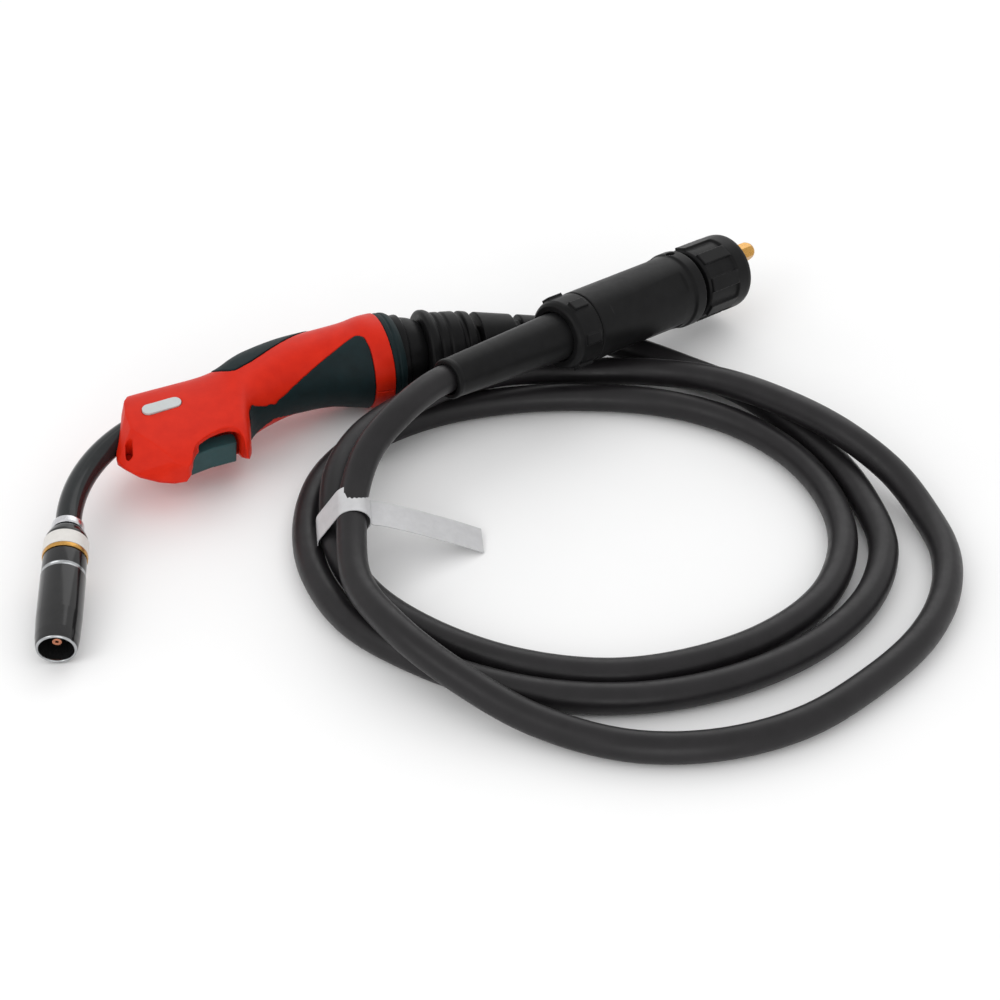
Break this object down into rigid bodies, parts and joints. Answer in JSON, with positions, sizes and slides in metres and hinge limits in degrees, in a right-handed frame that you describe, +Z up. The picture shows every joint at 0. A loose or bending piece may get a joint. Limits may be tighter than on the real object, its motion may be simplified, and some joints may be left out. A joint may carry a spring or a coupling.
{
  "type": "mig welding torch",
  "caption": "MIG welding torch: swan-neck gun with trigger and rubber grips, ball-jointed cable lying in loops, and a plug with a hand nut.",
  "frame": {"origin": "on the surface the torch lies on, below the middle of the gun's own box (the gun without its cable and plug)", "axes": "+Z up from that surface; +Y runs from the nozzle towards the rear of the handle, the gun's longest way; +X towards the cable's loops"},
  "size_m": [0.5257, 0.4565, 0.0753],
  "materials": {
    "red_plastic": "satin moulded plastic",
    "grip_rubber": "matt overmoulded rubber",
    "trigger_plastic": "matt",
    "black_plastic": "satin",
    "cable_rubber": "matt sheath",
    "label_film": "satin film",
    "dark_chrome": "polished",
    "steel": "brushed",
    "brass": "turned",
    "copper": "turned copper",
    "white_insulator": "matt moulded",
    "badge_metal": "smooth"
  },
  "bodies": {
    "cable_and_plug": {"cable": "cable_rubber", "label": "label_film", "joint_ball": "black_plastic", "cable_support": "black_plastic", "plug_sleeve": "black_plastic", "plug_collar": "black_plastic", "plug_housing": "black_plastic", "housing_screw_1": "steel", "housing_screw_2": "steel", "plug_body": "black_plastic", "brass_block": "brass", "gas_nipple": "brass", "gas_nipple_o_ring": "grip_rubber", "guide_nut": "brass", "liner_end": "steel", "nut_circlip": "steel"},
    "ball_cup": {"ball_cup": "black_plastic"},
    "handle": {"shell_left": "red_plastic", "shell_right": "red_plastic", "grip_belly": "grip_rubber", "grip_spine": "grip_rubber", "locking_ring": "grip_rubber", "badge_plate": "badge_metal", "shell_screw_1": "steel", "shell_screw_2": "steel", "shell_screw_3": "steel", "shell_screw_4": "steel", "trigger_pin": "steel", "microswitch": "black_plastic", "neck_tube": "dark_chrome", "neck_insulation": "white_insulator", "neck_current_tube": "copper", "neck_liner": "steel", "neck_clamp": "brass", "cable_lug": "brass", "neck_ring": "steel", "neck_collar": "dark_chrome", "insulator_ring": "white_insulator", "nozzle_seat": "brass", "nozzle_spring": "steel", "tip_holder": "brass", "gas_diffuser": "white_insulator", "contact_tip": "copper"},
    "trigger": {"trigger": "trigger_plastic"},
    "switch_plunger": {"switch_plunger": "white_insulator"},
    "gas_nozzle": {"gas_nozzle": "dark_chrome"},
    "hand_nut": {"hand_nut": "black_plastic"},
    "signal_pin_1": {"signal_pin_1": "brass"},
    "signal_pin_2": {"signal_pin_2": "brass"}
  },
  "joints": [
    {"name": "handle_swing", "type": "hinge", "parent": "cable_and_plug", "child": "ball_cup", "pos_m": [0.09328, 0.11889, 0.02932], "axis": [0, 0, 1], "range_deg": [-25, 10]},
    {"name": "handle_lift", "type": "hinge", "parent": "ball_cup", "child": "handle", "pos_m": [0.09328, 0.11889, 0.02932], "axis": [-0.4067, 0.9135, 0], "range_deg": [0, 14]},
    {"name": "trigger_pull", "type": "hinge", "parent": "handle", "child": "trigger", "pos_m": [-0.0296, 0.01715, 0.02775], "axis": [0.0943, -0.1292, 0.9871], "range_deg": [0, 5.5], "stiffness_Nm_per_rad": 1.5, "springref_deg": -8.59},
    {"name": "plunger_press", "type": "slide", "parent": "handle", "child": "switch_plunger", "axis": [-0.3969, 0.9045, 0.1563], "range_m": [0, 0.0021]},
    {"name": "nozzle_pull", "type": "slide", "parent": "handle", "child": "gas_nozzle", "axis": [0.0659, -0.9886, -0.1357], "range_m": [0, 0.065]},
    {"name": "nut_turn", "type": "hinge", "parent": "cable_and_plug", "child": "hand_nut", "pos_m": [0.29108, 0.1994, 0.03527], "axis": [0.7225, 0.6809, -0.1201], "continuous": true},
    {"name": "pin_1_press", "type": "slide", "parent": "cable_and_plug", "child": "signal_pin_1", "axis": [-0.7225, -0.6809, 0.1201], "range_m": [0, 0.004], "stiffness_N_per_m": 400, "springref_m": -0.003},
    {"name": "pin_2_press", "type": "slide", "parent": "cable_and_plug", "child": "signal_pin_2", "axis": [-0.7225, -0.6809, 0.1201], "range_m": [0, 0.004], "stiffness_N_per_m": 400, "springref_m": -0.003}
  ],
  "couplings": [
    {"joint": "plunger_press", "follows": "trigger_pull", "m_per_rad": 0.0205}
  ]
}
